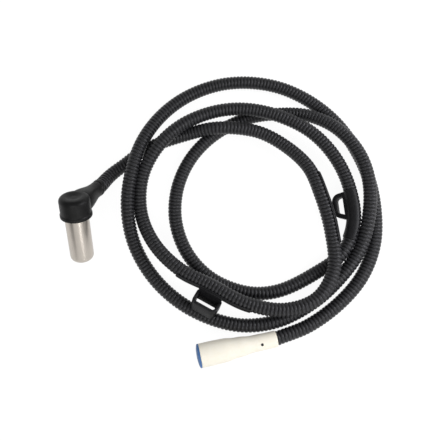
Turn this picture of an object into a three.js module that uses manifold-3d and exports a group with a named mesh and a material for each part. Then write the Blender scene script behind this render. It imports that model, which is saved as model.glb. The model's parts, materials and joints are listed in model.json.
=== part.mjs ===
// Rotation speed sensor for a commercial vehicle wheel end: a stainless steel barrel in an
// angled black cap, 1.8 m of cable in corrugated conduit laid in loose turns, three strap
// clips on the conduit, and a connector in a pale protective sleeve with a blue end cap.
// Millimetres, +Z up. The floor is z = 0 and the origin lies under the middle of the head.

import * as THREE from "three";
import { mergeVertices } from "three/addons/utils/BufferGeometryUtils.js";
import Module from "manifold-3d";

const wasm = await Module();
wasm.setup();

// Driving dimensions of the sensor head
const fitGap = 0.3; // air between two pieces that touch
const barrelRadius = 8; // the 16 mm barrel that fits a clamping bush
const barrelWall = 0.5;
const tipRound = 4.5; // outer corner radius of the drawn tip
const barrelExposed = 34.9; // tip to the underside of the cap
const barrelSeat = 6.1; // length of barrel held inside the cap
const capRadius = 10.1;
const capHeight = 14.7;
const capCorner = 3;
const capCeiling = 3; // thickness above the inner chamber
const rimRadius = 10.6;
const rimHeight = 2.2;
const dishRadius = 6; // shallow hollow in the top of the cap
const dishDepth = 0.9;
const chamberRadius = 6.6;
const neckHeight = 7.1; // neck centre above the underside of the cap
const neckLength = 30; // barrel axis to the end of the neck
const neckRootHalfWidth = 7.3;
const neckRootHalfHeight = 6.2;
const neckEndRadius = 5.4;
const lipRadius = 5.75;
const lipLength = 2;
const passageRadius = 3.2;

// Driving dimensions of the sealed inner parts
const pinRadius = 2;
const pinTipGap = 0.3; // pin end to the inside of the tip
const bobbinGap = 0.4; // bobbin flanges to the inside of the barrel
const flangeThickness = 1.4;
const spoolRadius = 3.7;
const spoolLength = 16;
const windingInset = 0.3; // winding inside the edge of the bobbin's flanges
const carrierLength = 10.5; // part of the bobbin behind the winding
const magnetRadius = 4;
const magnetLength = 6;
const magnetFloor = 3; // bobbin material between the winding flange and the magnet
const terminalWidth = 1.8;
const terminalThickness = 0.7;
const terminalLength = 16;
const terminalInset = 1.9; // terminal centre to the inside of the barrel
const pottingLength = 5.4;
const sealWireRadius = 0.5; // half the thickness of the ring seal
const sealHeight = 2.6; // ring seal centre above the underside of the cap
const coreRadius = 0.9;
const coreSpacing = 2.8; // between the two insulated cores in the neck
const neckSealLength = 4;
const neckSealRadius = 2.9;
const neckSealInset = 3; // from the end of the neck

// Driving dimensions of the conduit and its clips
const conduitRadius = 4.5;
const clipGap = 0.3; // the loose fit of a clip's trough on the conduit
const clipWall = 0.9;
const clipArcLow = -12; // degrees from the strap eye round to the edge of the trough
const clipArcHigh = 105;
const eyeLength = 15;
const eyeWall = 1.5;
const eyeHeight = 7.5;
const eyeCorner = 3.8;

// Driving dimensions of the connector, measured along its axis from the conduit side
const connectorLength = 54;
const sleeveWall = 0.6;
const sleeveStartRadius = 5.45;
const sleeveEndRadius = 7.9;
const sleeveLength = 50.6;
const sleeveSwellFrom = 12; // where the sleeve starts to widen over the housing
const sleeveSwellTo = 43;
const adapterLength = 23.1;
const adapterRadius = 4.5;
const housingRadius = 6.9;
const housingShankRadius = 5.4;
const housingShankLength = 12;
const housingWall = 1.5;
const housingBack = 5; // solid wall that holds the contacts
const housingLength = 23;
const contactRadius = 1.2;
const contactTipRadius = 0.8;
const contactSpacing = 5;
const contactReach = 12; // pin length in front of the housing's back wall
const gasketThickness = 1.2;
const endCapWall = 1.6;
const endCapPlug = 4; // length of the cap's plug inside the housing
const endCapRadius = 8.1;

// Where the head leans and where the connector lies
const headTip = [-3.3739, -24.8404, 3.6667];
const headHeading = -2.2; // degrees about Z
const headLean = -43.9; // degrees from upright, cap leaning away from the viewer
const headSpin = 72.4; // degrees about the barrel axis, sets the neck's direction
const connectorStart = [131.6, -79.7, 6.35];
const connectorHeading = -167.84;
const connectorRise = 3;

// The cord's route from the end of the neck to the connector
const cordRoute = [
  [7.76, 24.84, 13.77], [9.1, 27.55, 11.2], [11.8, 32.05, 8.05], [15.8, 37.4, 5.95], [22, 44.2, 4.9],
  [39.5, 57.5, 4.9],
  [66, 67, 8], [91, 70, 14.6], [120, 68.5, 11.8], [139, 59, 10.6], [156, 40, 14.6],
  [163.5, 18, 17.6], [170.5, -8, 15.8], [169.5, -34, 15.2], [157, -52.5, 14.6], [136.5, -61, 14.2],
  [111, -57, 14.8], [87, -45, 14.4], [65.5, -34, 14], [47.5, -15, 11], [38, 8, 8.4],
  [38, 33.5, 11.4], [48, 54.5, 15.6], [65.5, 71.5, 16.6], [90, 83, 15.2], [113.5, 85, 14.8],
  [138.5, 79, 14.4], [160, 67, 13.8], [176, 49, 12.2], [185.5, 26, 11.2], [187, -1.5, 10.6],
  [178, -22, 7], [159.5, -37, 4.8], [133, -47.5, 4.8], [112, -49, 4.8], [87.5, -39.5, 4.8],
  [70.5, -22, 4.8], [61.5, 1.5, 4.8], [62, 26, 4.8], [71, 49, 4.8], [87, 67.5, 4.8],
  [109.5, 81, 4.8], [133, 86, 4.8], [159, 83.5, 7.8], [179, 71, 12.4], [194, 50.5, 14.6],
  [199.5, 27.5, 14.4], [197, 0.5, 13.4], [190, -21, 7.8], [173.5, -42.5, 4.9], [155, -57.5, 4.8],
  [131.5, -68.5, 4.8], [107.5, -71, 4.8], [83.5, -65, 4.8], [61.5, -52.5, 4.8], [44, -34.5, 4.8],
  [32.5, -12.5, 6.8], [28, 11.5, 12.8], [30, 36.5, 15], [37, 60.5, 14], [50, 83, 9.8],
  [68, 100, 6.4], [90.5, 110.5, 4.8], [115, 113, 4.8], [139.5, 108.5, 4.8], [161.5, 97, 4.8],
  [180, 80, 4.8], [193.5, 58.5, 4.8], [202, 35, 4.8], [205, 10, 4.8], [201.5, -14.5, 4.8],
  [192, -37, 4.8], [176.5, -55.5, 4.8], [153.5, -71.5, 4.9], [131.9, -79.6, 6.35],
];

// Each clip: distance of its eye along the cord, trough before and after the eye, the side
// of the cord that the eye stands on, its tilt above level, and which way up it is fitted.
// eyeFrom and eyeGap place the strap's room outwards from the cord's centre, and eyeTop is
// the upper edge of the eye above that centre.
const clips = [
  {
    name: "conduit_clip_1", along: 352.8, before: 27, after: 27, side: 1, tilt: 28,
    turned: false, eyeFrom: 6.6, eyeGap: 7.6, eyeTop: -3.6,
  },
  {
    name: "conduit_clip_2", along: 671, before: 10, after: 26, side: -1, tilt: -27,
    turned: true, eyeFrom: 5.8, eyeGap: 7.2, eyeTop: 2.7,
  },
  {
    name: "conduit_clip_3", along: 216, before: 28, after: 23, side: 1, tilt: -79,
    turned: true, eyeFrom: 5.8, eyeGap: 7.2, eyeTop: 2.6,
  },
];

// Facets
const roundSegments = 32;
const arcSteps = 4;
const coreSides = 8;
const cordSides = 10;
const cordSteps = 79;
const weldDistance = 1e-4;

const materials = {
  steel: { color: 0xb9b4ab, roughness: 0.34, metalness: 1 },
  rubber: { color: 0x1b1b1c, roughness: 0.75, metalness: 0 },
  mouldedBlack: { color: 0x26272a, roughness: 0.55, metalness: 0 },
  conduitBlack: { color: 0x242528, roughness: 0.5, metalness: 0 },
  clipPlastic: { color: 0x303134, roughness: 0.48, metalness: 0 },
  softIron: { color: 0x6f6f70, roughness: 0.4, metalness: 1 },
  magnet: { color: 0x4b4c50, roughness: 0.5, metalness: 0.6 },
  bobbin: { color: 0xd9cfb4, roughness: 0.5, metalness: 0 },
  copper: { color: 0xb4622c, roughness: 0.35, metalness: 0.9 },
  brass: { color: 0xc9a24a, roughness: 0.3, metalness: 1 },
  resin: { color: 0x1e1a18, roughness: 0.35, metalness: 0 },
  coreBrown: { color: 0x5a3522, roughness: 0.5, metalness: 0 },
  coreBlack: { color: 0x161617, roughness: 0.5, metalness: 0 },
  sleeveCream: { color: 0xe9e4d6, roughness: 0.6, metalness: 0 },
  capBlue: { color: 0x3c74b4, roughness: 0.4, metalness: 0 },
  housingGrey: { color: 0x3a3b3e, roughness: 0.5, metalness: 0 },
};

// A geometry with shared corners, only positions and no collapsed triangles
function welded(geometry) {
  const bare = geometry.clone();
  bare.deleteAttribute("normal");
  bare.deleteAttribute("uv");
  const merged = mergeVertices(bare, weldDistance);
  const corners = merged.index.array;
  const kept = [];
  for (let i = 0; i < corners.length; i += 3) {
    const [a, b, c] = corners.slice(i, i + 3);
    if (a !== b && b !== c && c !== a) kept.push(a, b, c);
  }
  merged.setIndex(kept);
  return merged;
}

function bodyOf(geometry) {
  const closed = welded(geometry);
  const vertProperties = new Float32Array(closed.attributes.position.array);
  const triVerts = new Uint32Array(closed.index.array);
  return new wasm.Manifold(new wasm.Mesh({ numProp: 3, vertProperties, triVerts }));
}

function geometryOf(body) {
  const mesh = body.getMesh();
  const geometry = new THREE.BufferGeometry();
  geometry.setAttribute("position", new THREE.BufferAttribute(mesh.vertProperties, 3));
  geometry.setIndex(new THREE.BufferAttribute(mesh.triVerts, 1));
  return geometry;
}

// Points of an arc as [radius, height] pairs, angles in degrees
function arc(centreRadius, centreHeight, radius, from, to, steps = arcSteps) {
  const points = [];
  for (let i = 0; i <= steps; i++) {
    const angle = THREE.MathUtils.degToRad(from + ((to - from) * i) / steps);
    points.push([centreRadius + radius * Math.cos(angle), centreHeight + radius * Math.sin(angle)]);
  }
  return points;
}

// A turned solid about Z from [radius, height] pairs that run up its outside
function turned(profile, segments = roundSegments) {
  const points = profile.map(([radius, height]) => new THREE.Vector2(radius, height));
  const geometry = new THREE.LatheGeometry(points, segments);
  return welded(geometry.rotateX(Math.PI / 2));
}

// A turned ring or tube, its profile closed on itself
function turnedRing(profile, segments = roundSegments) {
  return turned([...profile, profile[0]], segments);
}

function disc(radius, from, to, segments = roundSegments) {
  return turned([[0, from], [radius, from], [radius, to], [0, to]], segments);
}

function tube(outer, inner, from, to, segments = roundSegments) {
  return turnedRing([[inner, from], [outer, from], [outer, to], [inner, to]], segments);
}

// Turns a solid made about Z so that its axis points along +X
function alongX(geometry) {
  return geometry.rotateY(Math.PI / 2);
}

function circleShape(radius, sides) {
  const points = [];
  for (let i = 0; i < sides; i++) {
    const angle = (2 * Math.PI * (i + 0.5)) / sides;
    points.push(new THREE.Vector2(radius * Math.cos(angle), radius * Math.sin(angle)));
  }
  return new THREE.Shape(points);
}

function sweptRound(curve, radius, sides, steps) {
  const options = { steps, bevelEnabled: false, extrudePath: curve };
  return welded(new THREE.ExtrudeGeometry(circleShape(radius, sides), options));
}

// Adds one named sub-part to a group
function place(group, name, geometry, material) {
  const finish = new THREE.MeshStandardMaterial(materials[material]);
  const mesh = new THREE.Mesh(geometry, finish);
  mesh.name = name;
  group.add(mesh);
  return mesh;
}

// Heights along the barrel axis, all measured from the tip
const capBottom = barrelExposed;
const capTop = capBottom + capHeight;
const barrelTop = capBottom + barrelSeat;
const neckZ = capBottom + neckHeight;
const boreRadius = barrelRadius - barrelWall;
const flangeRadius = boreRadius - bobbinGap;
const windingRadius = flangeRadius - windingInset;
const terminalOffset = boreRadius - terminalInset;
const spoolBottom = tipRound;
const windingBottom = spoolBottom + flangeThickness;
const windingTop = windingBottom + spoolLength;
const carrierBottom = windingTop + flangeThickness;
const carrierTop = carrierBottom + carrierLength;
const magnetBottom = carrierBottom + magnetFloor;
const pottingBottom = carrierTop + fitGap;
const terminalBottom = carrierBottom + 2;
const terminalTop = terminalBottom + terminalLength;

// Drawn stainless steel cup, closed and rounded at the sensing end
function barrelSleeve() {
  return turned([
    [0, 0],
    ...arc(barrelRadius - tipRound, tipRound, tipRound, -90, 0, arcSteps + 2),
    [barrelRadius, barrelTop],
    [boreRadius, barrelTop],
    ...arc(barrelRadius - tipRound, tipRound, tipRound - barrelWall, 0, -90, arcSteps + 2),
    [0, barrelWall],
  ]);
}

// Half width and half height of the neck at a distance from the barrel axis
function neckSection(x) {
  const t = THREE.MathUtils.smoothstep(x, capRadius - 3, neckLength - 6);
  return {
    halfWidth: THREE.MathUtils.lerp(neckRootHalfWidth, neckEndRadius, t),
    halfHeight: THREE.MathUtils.lerp(neckRootHalfHeight, neckEndRadius, t),
    squareness: THREE.MathUtils.lerp(2.8, 2, t),
  };
}

// A loft through superellipse sections along +X
function neckLoft() {
  const stations = [0, 6, 9, 12, 15, 18, 21, 24, neckLength - lipLength - 0.4];
  const rings = stations.map((x) => ({ x, ...neckSection(x) }));
  const lip = { halfWidth: lipRadius, halfHeight: lipRadius, squareness: 2 };
  rings.push({ x: neckLength - lipLength, ...lip });
  rings.push({ x: neckLength, ...lip });
  const positions = [];
  for (const ring of rings) {
    for (let i = 0; i < roundSegments; i++) {
      const angle = (2 * Math.PI * i) / roundSegments;
      const power = 2 / ring.squareness;
      const across = Math.sign(Math.cos(angle)) * Math.abs(Math.cos(angle)) ** power;
      const over = Math.sign(Math.sin(angle)) * Math.abs(Math.sin(angle)) ** power;
      positions.push(ring.x, ring.halfWidth * across, neckZ + ring.halfHeight * over);
    }
  }
  const indices = [];
  for (let r = 0; r < rings.length - 1; r++) {
    for (let i = 0; i < roundSegments; i++) {
      const a = r * roundSegments + i;
      const b = r * roundSegments + ((i + 1) % roundSegments);
      indices.push(a, b, b + roundSegments, a, b + roundSegments, a + roundSegments);
    }
  }
  const last = (rings.length - 1) * roundSegments;
  for (let i = 1; i < roundSegments - 1; i++) {
    indices.push(0, i + 1, i, last, last + i, last + i + 1);
  }
  const geometry = new THREE.BufferGeometry();
  geometry.setAttribute("position", new THREE.Float32BufferAttribute(positions, 3));
  geometry.setIndex(indices);
  return geometry;
}

// Moulded cap and neck in one piece: seat for the barrel, chamber and cable passage
function headCap() {
  const outside = turned([
    [0, capBottom],
    [rimRadius - 0.4, capBottom],
    [rimRadius, capBottom + 0.4],
    [rimRadius, capBottom + rimHeight],
    [capRadius, capBottom + rimHeight + 0.7],
    ...arc(capRadius - capCorner, capTop - capCorner, capCorner, 0, 90, arcSteps + 1),
    [0, capTop],
  ], 40);
  const sealGroove = sealWireRadius + fitGap;
  const grooveOuter = barrelRadius + 2 * sealWireRadius + 2 * fitGap;
  const bore = turned([
    [0, capBottom - 1],
    [barrelRadius + fitGap, capBottom - 1],
    [barrelRadius + fitGap, capBottom + sealHeight - sealGroove],
    [grooveOuter, capBottom + sealHeight - sealGroove],
    [grooveOuter, capBottom + sealHeight + sealGroove],
    [barrelRadius + fitGap, capBottom + sealHeight + sealGroove],
    [barrelRadius + fitGap, barrelTop + fitGap],
    [chamberRadius, barrelTop + fitGap],
    [chamberRadius, capTop - capCeiling],
    [0, capTop - capCeiling],
  ]);
  const dishCurve = (dishRadius ** 2 + dishDepth ** 2) / (2 * dishDepth);
  const dishAngle = THREE.MathUtils.radToDeg(Math.asin(dishRadius / dishCurve));
  const dish = turned([
    ...arc(0, capTop - dishDepth + dishCurve, dishCurve, -90, -90 + dishAngle, arcSteps),
    [dishRadius, capTop + 1],
    [0, capTop + 1],
  ]);
  const passage = alongX(disc(passageRadius, 0, neckLength + 1)).translate(0, 0, neckZ);
  const cap = bodyOf(outside).add(bodyOf(neckLoft()));
  return geometryOf(
    cap.subtract(bodyOf(bore)).subtract(bodyOf(dish)).subtract(bodyOf(passage)),
  );
}

// Ring seal between barrel and cap
function ringSeal() {
  const centre = barrelRadius + fitGap + sealWireRadius;
  const circle = arc(centre, capBottom + sealHeight, sealWireRadius, 0, 360, 8).slice(0, -1);
  return turnedRing(circle);
}

// Soft iron pin that carries the field from the magnet to the tip
function polePiece() {
  const from = barrelWall + pinTipGap;
  return disc(pinRadius, from, magnetBottom - fitGap, 24);
}

// Plastic bobbin: two flanges, a spool and a carrier with a pocket for the magnet
function coilBobbin() {
  const pinHole = pinRadius + fitGap;
  const pocket = magnetRadius + fitGap;
  const body = turnedRing([
    [pinHole, spoolBottom],
    [flangeRadius, spoolBottom],
    [flangeRadius, windingBottom],
    [spoolRadius, windingBottom],
    [spoolRadius, windingTop],
    [flangeRadius, windingTop],
    [flangeRadius, carrierTop],
    [pocket, carrierTop],
    [pocket, magnetBottom - fitGap],
    [pinHole, magnetBottom - fitGap],
  ]);
  let carved = bodyOf(body);
  for (const side of [-1, 1]) {
    const slot = new THREE.BoxGeometry(
      terminalThickness + 2 * fitGap,
      terminalWidth + 2 * fitGap,
      carrierTop - terminalBottom + fitGap + 1,
    );
    const middle = (carrierTop + 1 + terminalBottom - fitGap) / 2;
    slot.translate(side * terminalOffset, 0, middle);
    carved = carved.subtract(bodyOf(slot));
  }
  return geometryOf(carved);
}

function coilWinding() {
  return tube(windingRadius, spoolRadius + fitGap, windingBottom + fitGap, windingTop - fitGap);
}

function biasMagnet() {
  return disc(magnetRadius, magnetBottom, magnetBottom + magnetLength, 24);
}

function terminalBlade(side) {
  const blade = new THREE.BoxGeometry(terminalThickness, terminalWidth, terminalLength);
  return blade.translate(side * terminalOffset, 0, terminalBottom + terminalLength / 2);
}

// Resin that closes the barrel behind the bobbin, with the terminals passing through it
function pottingPlug() {
  const inner = boreRadius - fitGap;
  let plug = bodyOf(disc(inner, pottingBottom, pottingBottom + pottingLength));
  for (const side of [-1, 1]) {
    const hole = new THREE.BoxGeometry(
      terminalThickness + 2 * fitGap,
      terminalWidth + 2 * fitGap,
      pottingLength + 2,
    );
    hole.translate(side * terminalOffset, 0, pottingBottom + pottingLength / 2);
    plug = plug.subtract(bodyOf(hole));
  }
  return geometryOf(plug);
}

// Insulated core from above a terminal, through the chamber and the neck to the conduit
function headCore(side) {
  const across = (side * coreSpacing) / 2;
  const rise = terminalTop + fitGap;
  const end = neckLength - fitGap;
  const curve = new THREE.CatmullRomCurve3([
    new THREE.Vector3(side * (terminalOffset - 1), 0, rise),
    new THREE.Vector3(side * (terminalOffset - 1.6), across * 0.6, (rise + neckZ) / 2 + 0.2),
    new THREE.Vector3(side > 0 ? 5.6 : 0, across, neckZ + 0.4),
    new THREE.Vector3(capRadius, across, neckZ),
    new THREE.Vector3(end, across, neckZ),
  ]);
  return sweptRound(curve, coreRadius, coreSides, 16);
}

// Rubber plug round the two cores inside the neck
function neckSeal() {
  const end = neckLength - neckSealInset;
  const plug = alongX(disc(neckSealRadius, end - neckSealLength, end, 24));
  plug.translate(0, 0, neckZ);
  let body = bodyOf(plug);
  for (const side of [-1, 1]) {
    const hole = alongX(disc(coreRadius + fitGap, end - neckSealLength - 1, end + 1, 12));
    hole.translate(0, (side * coreSpacing) / 2, neckZ);
    body = body.subtract(bodyOf(hole));
  }
  return geometryOf(body);
}

const head = new THREE.Group();
place(head, "sensor_barrel", barrelSleeve(), "steel");
place(head, "head_cap", headCap(), "mouldedBlack");
place(head, "barrel_seal", ringSeal(), "rubber");
place(head, "pole_piece", polePiece(), "softIron");
place(head, "bias_magnet", biasMagnet(), "magnet");
place(head, "coil_bobbin", coilBobbin(), "bobbin");
place(head, "coil_winding", coilWinding(), "copper");
place(head, "terminal_front", terminalBlade(1), "brass");
place(head, "terminal_rear", terminalBlade(-1), "brass");
place(head, "potting_plug", pottingPlug(), "resin");
place(head, "head_core_brown", headCore(1), "coreBrown");
place(head, "head_core_black", headCore(-1), "coreBlack");
place(head, "neck_seal", neckSeal(), "rubber");

// Barrel turned about its own axis, then leaned over, then headed on the floor
const spun = new THREE.Group();
spun.rotation.z = THREE.MathUtils.degToRad(headSpin);
spun.add(head);
const leaned = new THREE.Group();
leaned.rotation.x = THREE.MathUtils.degToRad(headLean);
leaned.add(spun);
const sensorHead = new THREE.Group();
sensorHead.rotation.z = THREE.MathUtils.degToRad(headHeading);
sensorHead.position.set(...headTip);
sensorHead.add(leaned);

// The conduit is one plain round tube along the cord's route
const cord = new THREE.CatmullRomCurve3(cordRoute.map((point) => new THREE.Vector3(...point)));
cord.arcLengthDivisions = 2000;

// A stretch of the cord between two distances along it
function cordStretch(from, to, count) {
  const length = cord.getLength();
  const points = [];
  for (let i = 0; i <= count; i++) {
    points.push(cord.getPointAt((from + ((to - from) * i) / count) / length));
  }
  return new THREE.CatmullRomCurve3(points);
}

// Directions at a clip: along the cord, out through the eye, and across both
function clipFrame(clip, curve, t) {
  const along = curve.getTangentAt(t);
  const up = new THREE.Vector3(0, 0, 1);
  const level = new THREE.Vector3().crossVectors(up, along).normalize();
  const upright = new THREE.Vector3().crossVectors(along, level).normalize();
  const tilt = THREE.MathUtils.degToRad(clip.tilt);
  level.multiplyScalar(clip.side);
  const out = level.clone().multiplyScalar(Math.cos(tilt)).addScaledVector(upright, Math.sin(tilt));
  const across = level.multiplyScalar(-Math.sin(tilt)).addScaledVector(upright, Math.cos(tilt));
  return { along, out, across };
}

// Trough that grips part of the conduit, swept along the cord
function clipTrough(clip, curve, steps) {
  const frames = curve.computeFrenetFrames(steps, false);
  const { out } = clipFrame(clip, curve, 0);
  const start = Math.atan2(out.dot(frames.binormals[0]), out.dot(frames.normals[0]));
  const turn = clip.turned ? clip.side : -clip.side;
  const bare = THREE.MathUtils.degToRad(clipArcLow) * turn;
  const full = THREE.MathUtils.degToRad(clipArcHigh) * turn;
  const inner = conduitRadius + clipGap;
  const outer = inner + clipWall;
  const points = [];
  const count = 9;
  for (let i = 0; i <= count; i++) {
    const angle = start + bare + ((full - bare) * i) / count;
    points.push(new THREE.Vector2(outer * Math.cos(angle), outer * Math.sin(angle)));
  }
  for (let i = count; i >= 0; i--) {
    const angle = start + bare + ((full - bare) * i) / count;
    points.push(new THREE.Vector2(inner * Math.cos(angle), inner * Math.sin(angle)));
  }
  const options = { steps, bevelEnabled: false, extrudePath: curve };
  return new THREE.ExtrudeGeometry(new THREE.Shape(points), options);
}

function roundedPath(path, halfWidth, low, high, corner) {
  path.moveTo(-halfWidth, low);
  path.lineTo(halfWidth, low);
  path.lineTo(halfWidth, high - corner);
  path.absarc(halfWidth - corner, high - corner, corner, 0, Math.PI / 2, false);
  path.lineTo(-halfWidth + corner, high);
  path.absarc(-halfWidth + corner, high - corner, corner, Math.PI / 2, Math.PI, false);
  path.lineTo(-halfWidth, low);
  return path;
}

// Strap eye: a rounded rectangular loop on a plate that meets the trough
function clipEye(clip, centre, frame) {
  const root = conduitRadius + clipGap;
  const gapTo = clip.eyeFrom + clip.eyeGap;
  const outline = roundedPath(
    new THREE.Shape(), eyeLength / 2 + eyeWall, root, gapTo + eyeWall, eyeCorner,
  );
  const hole = roundedPath(
    new THREE.Path(), eyeLength / 2, clip.eyeFrom, gapTo, eyeCorner - eyeWall,
  );
  outline.holes.push(hole);
  const options = { depth: eyeHeight, bevelEnabled: false, curveSegments: 4 };
  const loop = new THREE.ExtrudeGeometry(outline, options);
  loop.translate(0, 0, clip.eyeTop - eyeHeight);
  const plateTop = Math.max(clip.eyeTop, 1);
  const plateHeight = plateTop - clip.eyeTop + eyeHeight;
  const plate = new THREE.BoxGeometry(eyeLength + 2 * eyeWall, clip.eyeFrom - root, plateHeight);
  plate.translate(0, (clip.eyeFrom + root) / 2, plateTop - plateHeight / 2);
  const along = frame.along.clone().multiplyScalar(clip.side);
  const basis = new THREE.Matrix4().makeBasis(along, frame.out, frame.across);
  basis.setPosition(centre);
  return bodyOf(loop.applyMatrix4(basis)).add(bodyOf(plate.applyMatrix4(basis)));
}

// The room that the conduit takes up, as an all-round slightly larger copy of it
const conduitRoom = bodyOf(sweptRound(cord, conduitRadius + fitGap, cordSides, cordSteps));

function conduitClip(clip) {
  const steps = 10;
  const length = clip.before + clip.after;
  const curve = cordStretch(clip.along - clip.before, clip.along + clip.after, steps);
  const middle = clip.before / length;
  const centre = curve.getPointAt(middle);
  const eye = clipEye(clip, centre, clipFrame(clip, curve, middle));
  const reach = eyeLength / 2 + eyeWall + 2;
  const stretch = cordStretch(clip.along - reach, clip.along + reach, 6);
  const eyeRoom = sweptRound(stretch, conduitRadius + clipGap, 24, 6);
  const trimmed = eye.subtract(bodyOf(eyeRoom));
  const joined = bodyOf(clipTrough(clip, curve, steps)).add(trimmed);
  return geometryOf(joined.subtract(conduitRoom));
}

const harness = new THREE.Group();
place(harness, "cable_conduit", sweptRound(cord, conduitRadius, cordSides, cordSteps), "conduitBlack");
for (const clip of clips) {
  place(harness, clip.name, conduitClip(clip), "clipPlastic");
}

// Connector parts, made about Z from the conduit side towards the mating end
const adapterFrom = fitGap;
const adapterTo = adapterFrom + adapterLength;
const housingFrom = adapterTo + fitGap;
const housingTo = housingFrom + housingLength;
const shankTo = housingFrom + housingShankLength;
const contactShoulder = housingFrom + housingBack;
const cavityRadius = housingRadius - housingWall;
const flangeFrom = sleeveLength + fitGap;

// Outer radius of the pale sleeve: narrow on the conduit, then swelling over the housing
function sleeveRadiusAt(z) {
  const t = THREE.MathUtils.smoothstep(z, sleeveSwellFrom, sleeveSwellTo);
  return THREE.MathUtils.lerp(sleeveStartRadius, sleeveEndRadius, t);
}

function connectorSleeve() {
  const stations = [0];
  const count = 7;
  for (let i = 0; i <= count; i++) {
    stations.push(THREE.MathUtils.lerp(sleeveSwellFrom, sleeveSwellTo, i / count));
  }
  stations.push(sleeveLength);
  const outside = stations.map((z) => [sleeveRadiusAt(z), z]);
  const inside = stations.map((z) => [sleeveRadiusAt(z) - sleeveWall, z]).reverse();
  return turnedRing([...outside, ...inside]);
}

// Ribbed rubber adapter behind the conduit's end, with a bore for the cores
function conduitAdapter() {
  const bore = coreSpacing / 2 + coreRadius + fitGap;
  const groove = adapterRadius - 0.8;
  const ribs = 4;
  const pitch = adapterLength / ribs;
  const profile = [[bore, adapterFrom]];
  for (let i = 0; i < ribs; i++) {
    const from = adapterFrom + i * pitch;
    profile.push([groove, from], [groove, from + pitch * 0.4]);
    profile.push([adapterRadius, from + pitch * 0.4], [adapterRadius, from + pitch]);
  }
  profile.push([bore, adapterTo]);
  return turnedRing(profile, 24);
}

// Socket housing: a slim shank, a wider mouth and two holes for the contacts
function connectorHousing() {
  const body = turned([
    [0, housingFrom],
    [housingShankRadius, housingFrom],
    [housingShankRadius, shankTo],
    [housingRadius, shankTo + 2],
    [housingRadius, housingTo],
    [cavityRadius, housingTo],
    [cavityRadius, shankTo + 2],
    [housingShankRadius - housingWall, shankTo],
    [housingShankRadius - housingWall, contactShoulder],
    [0, contactShoulder],
  ]);
  let carved = bodyOf(body);
  for (const side of [-1, 1]) {
    const hole = disc(contactRadius + fitGap, housingFrom - 1, contactShoulder + 1, 16);
    hole.translate(0, (side * contactSpacing) / 2, 0);
    carved = carved.subtract(bodyOf(hole));
  }
  return geometryOf(carved);
}

// Stepped round contact pin
function contactPin(side) {
  const pin = turned([
    [0, housingFrom],
    [contactRadius, housingFrom],
    [contactRadius, contactShoulder],
    [contactTipRadius, contactShoulder + 0.5],
    [contactTipRadius, contactShoulder + contactReach - 0.8],
    [0, contactShoulder + contactReach],
  ], 12);
  return pin.translate(0, (side * contactSpacing) / 2, 0);
}

// Straight end of an insulated core, from the conduit to a contact
function connectorCore(side) {
  const core = disc(coreRadius, adapterFrom, housingFrom - fitGap, 10);
  return core.translate(0, (side * coreSpacing) / 2, 0);
}

// Rubber ring between the housing's mouth and the end cap
function connectorGasket() {
  const inner = cavityRadius + fitGap;
  return tube(inner + gasketThickness, inner, housingTo + fitGap, flangeFrom - fitGap, 24);
}

// Blue plug that closes the mating end, with a shallow recess in its face
function endCap() {
  const plugRadius = cavityRadius - fitGap;
  return turned([
    [0, housingTo - endCapPlug],
    [plugRadius, housingTo - endCapPlug],
    [plugRadius, flangeFrom],
    [endCapRadius, flangeFrom],
    [endCapRadius, connectorLength - 0.5],
    [endCapRadius - 0.5, connectorLength],
    [endCapRadius - endCapWall, connectorLength],
    [endCapRadius - endCapWall, connectorLength - 1],
    [0, connectorLength - 1],
  ]);
}

const connector = new THREE.Group();
place(connector, "connector_sleeve", connectorSleeve(), "sleeveCream");
place(connector, "conduit_adapter", conduitAdapter(), "rubber");
place(connector, "connector_core_brown", connectorCore(1), "coreBrown");
place(connector, "connector_core_black", connectorCore(-1), "coreBlack");
place(connector, "connector_housing", connectorHousing(), "housingGrey");
place(connector, "contact_pin_brown", contactPin(1), "brass");
place(connector, "contact_pin_black", contactPin(-1), "brass");
place(connector, "connector_gasket", connectorGasket(), "rubber");
place(connector, "connector_end_cap", endCap(), "capBlue");

// Connector axis raised slightly towards its mating end, then headed on the floor
const raised = new THREE.Group();
raised.rotation.y = THREE.MathUtils.degToRad(90 - connectorRise);
raised.add(connector);
const laidConnector = new THREE.Group();
laidConnector.rotation.z = THREE.MathUtils.degToRad(connectorHeading);
laidConnector.position.set(...connectorStart);
laidConnector.add(raised);

const rotationSpeedSensor = new THREE.Group();
rotationSpeedSensor.add(sensorHead, harness, laidConnector);
export default rotationSpeedSensor;
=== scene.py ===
# Rotation speed sensor for a commercial vehicle wheel end, dressed for looks.
# Steel barrel in an angled black head, corrugated conduit laid in loose turns with three
# strap clips, and a connector in a pale soft sleeve with a blue end cap.
# Metres, +Z up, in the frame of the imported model. MM turns drawing millimetres into metres.

import json
import math

import bmesh
import bpy
import numpy as np
from mathutils import Matrix, Vector


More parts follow.
